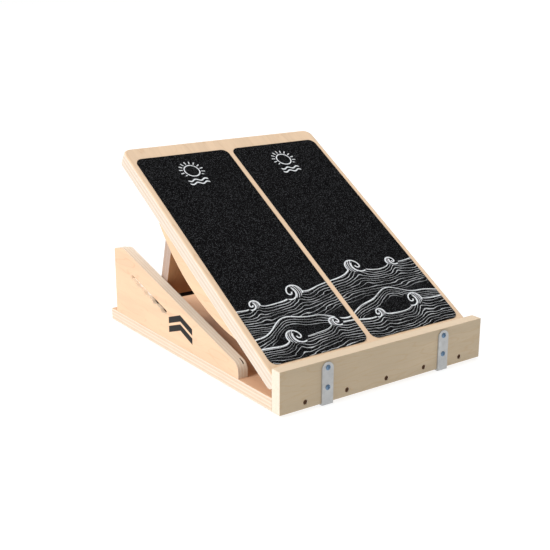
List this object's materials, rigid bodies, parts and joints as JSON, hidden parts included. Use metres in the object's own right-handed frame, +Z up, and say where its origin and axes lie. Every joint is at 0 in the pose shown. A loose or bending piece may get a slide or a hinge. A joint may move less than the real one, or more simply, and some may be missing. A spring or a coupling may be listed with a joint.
{
  "type": "slant board",
  "caption": "Wooden slant board: a hinged standing deck with grip pads, held up by a folding strut on a cross rod in the slotted cheeks of its base.",
  "frame": {"origin": "on the floor, under the middle of the whole object's outline", "axes": "+X to the right along the front rail, +Y from the rail to the back of the base, +Z up"},
  "size_m": [0.35, 0.4538, 0.278],
  "materials": {
    "birch_ply": "clear matt lacquer",
    "rail_wood": "clear matt lacquer",
    "zinc_steel": "zinc plated",
    "dark_steel": "dark bronze coating",
    "black_steel": "black coating",
    "grip_tape": "coarse grit with white printing",
    "black_rubber": "matt"
  },
  "bodies": {
    "base_frame": {"base_panel": "birch_ply", "front_rail": "rail_wood", "cheek_left": "birch_ply", "cheek_right": "birch_ply", "bracket_left": "zinc_steel", "bracket_right": "zinc_steel", "rubber_feet": "black_rubber", "rail_screws": "dark_steel", "bracket_screws": "zinc_steel", "bracket_foot_screws": "zinc_steel", "cheek_screws": "zinc_steel", "front_hinge_left_base_leaf": "zinc_steel", "front_hinge_right_base_leaf": "zinc_steel", "front_hinge_left_pin": "zinc_steel", "front_hinge_right_pin": "zinc_steel", "front_hinge_base_screws": "zinc_steel"},
    "deck": {"deck_panel": "birch_ply", "side_rib_left": "birch_ply", "side_rib_right": "birch_ply", "grip_pad_left": "grip_tape", "grip_pad_right": "grip_tape", "front_hinge_left_deck_leaf": "zinc_steel", "front_hinge_right_deck_leaf": "zinc_steel", "front_hinge_deck_screws": "zinc_steel", "strut_hinge_left_deck_leaf": "zinc_steel", "strut_hinge_right_deck_leaf": "zinc_steel", "strut_hinge_left_pin": "zinc_steel", "strut_hinge_right_pin": "zinc_steel", "strut_hinge_deck_screws": "zinc_steel"},
    "strut": {"strut_panel": "birch_ply", "strut_hinge_left_strut_leaf": "zinc_steel", "strut_hinge_right_strut_leaf": "zinc_steel", "strut_hinge_strut_screws": "zinc_steel"},
    "rod": {"cross_rod": "black_steel", "rod_collar_left": "black_rubber", "rod_collar_right": "black_rubber"}
  },
  "joints": [
    {"name": "deck_tilt", "type": "hinge", "parent": "base_frame", "child": "deck", "pos_m": [0, -0.1986, 0.024], "axis": [1, 0, 0], "range_deg": [-10, 0]},
    {"name": "strut_swing", "type": "hinge", "parent": "deck", "child": "strut", "pos_m": [0, 0.07655, 0.18933], "axis": [1, 0, 0], "range_deg": [0, 105]},
    {"name": "rod_shift", "type": "slide", "parent": "base_frame", "child": "rod", "axis": [0, 0.9613, 0.2756], "range_m": [-0.0245, 0]}
  ],
  "couplings": [
    {"joint": "strut_swing", "follows": "deck_tilt", "ratio": -10.5}
  ]
}
